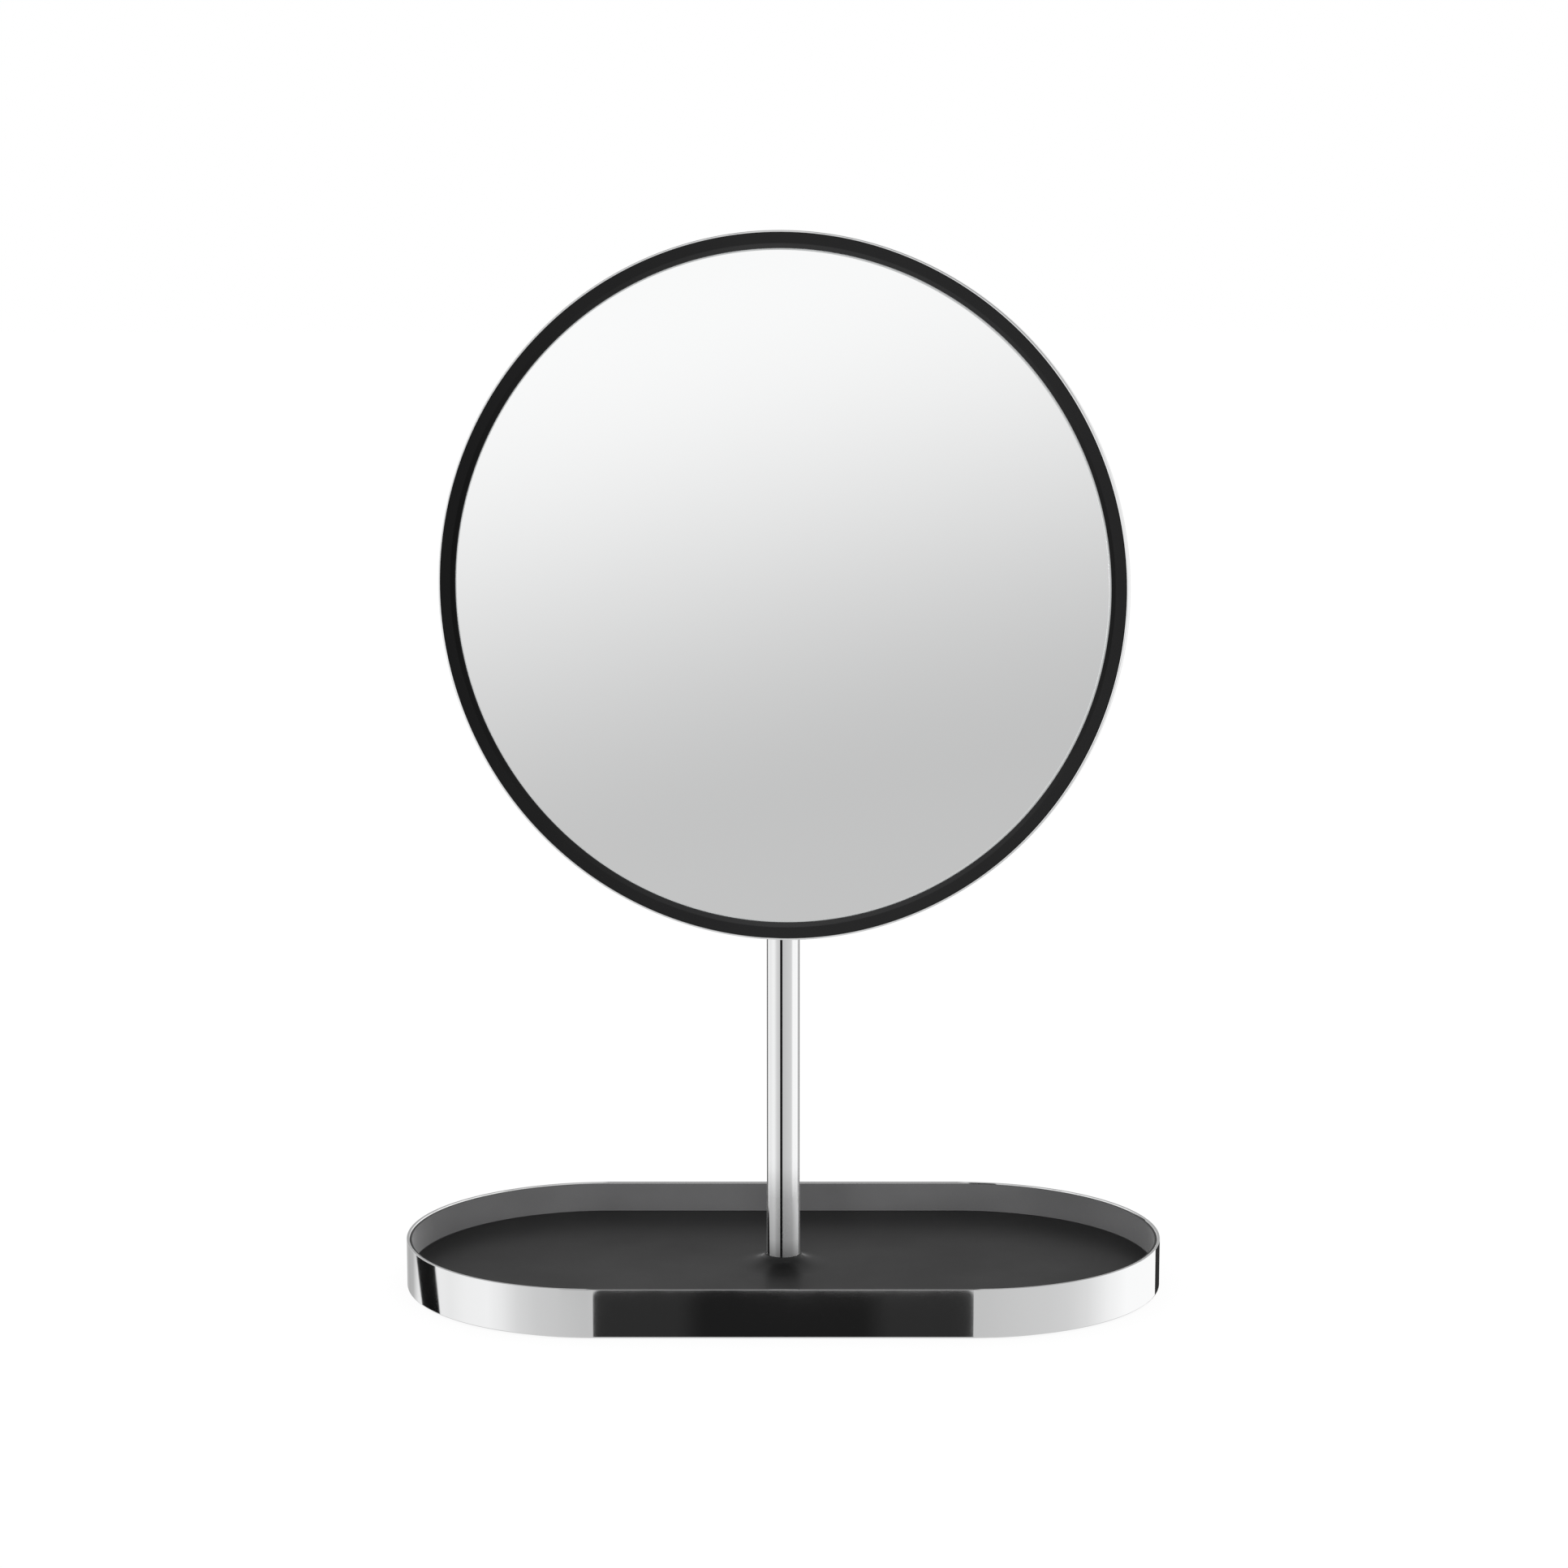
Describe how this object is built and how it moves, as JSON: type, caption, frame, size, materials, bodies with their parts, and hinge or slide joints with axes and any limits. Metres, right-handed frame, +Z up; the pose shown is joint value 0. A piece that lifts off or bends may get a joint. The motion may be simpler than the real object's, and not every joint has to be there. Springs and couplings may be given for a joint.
{
  "type": "countertop mirror",
  "caption": "Round tilting mirror in a slim polished pan on a thin post, rising from the middle of a stadium-shaped catch-all tray.",
  "frame": {"origin": "centre of the tray on the ground plane, under the post", "axes": "+Z up along the post, +X to the right of someone who looks into the mirror, -Y towards that person"},
  "size_m": [0.23, 0.119, 0.3193],
  "materials": {
    "polished_steel": "mirror polished",
    "black_coating": "fine matt powder coat",
    "black_ring": "fine matt",
    "silvered_glass": "flat silvered glass with a ground edge",
    "zinc_steel": "zinc plated",
    "plate_steel": "rolled, oiled",
    "turned_brass": "turned",
    "nylon": "natural nylon",
    "foam": "closed-cell foam"
  },
  "bodies": {
    "base": {"tray_hoop": "polished_steel", "tray_liner": "black_coating", "ballast_plate": "plate_steel", "base_pad": "foam", "post_tube": "polished_steel", "post_insert": "turned_brass", "post_screw": "zinc_steel", "swivel_bush": "turned_brass"},
    "neck": {"swivel_stem": "zinc_steel", "thrust_washer": "nylon", "stem_washer": "nylon", "stem_spring": "zinc_steel", "stem_nut": "zinc_steel"},
    "head": {"head_shell": "polished_steel", "bezel_ring": "black_ring", "mirror_glass": "silvered_glass", "mounting_pad": "foam", "carrier_plate": "zinc_steel", "carrier_screws": "zinc_steel", "standoffs": "zinc_steel", "hinge_bracket": "zinc_steel", "bracket_studs": "zinc_steel", "bracket_nuts": "zinc_steel", "hinge_bolt": "zinc_steel", "hinge_nut": "zinc_steel", "hinge_spring": "zinc_steel", "friction_washers": "nylon"}
  },
  "joints": [
    {"name": "head_swivel", "type": "hinge", "parent": "base", "child": "neck", "pos_m": [0, 0, 0.1234], "axis": [0, 0, 1], "continuous": true},
    {"name": "head_tilt", "type": "hinge", "parent": "neck", "child": "head", "pos_m": [0, 0, 0.1234], "axis": [-0.9732, 0.23, 0], "range_deg": [-11.6, 14.4]}
  ]
}
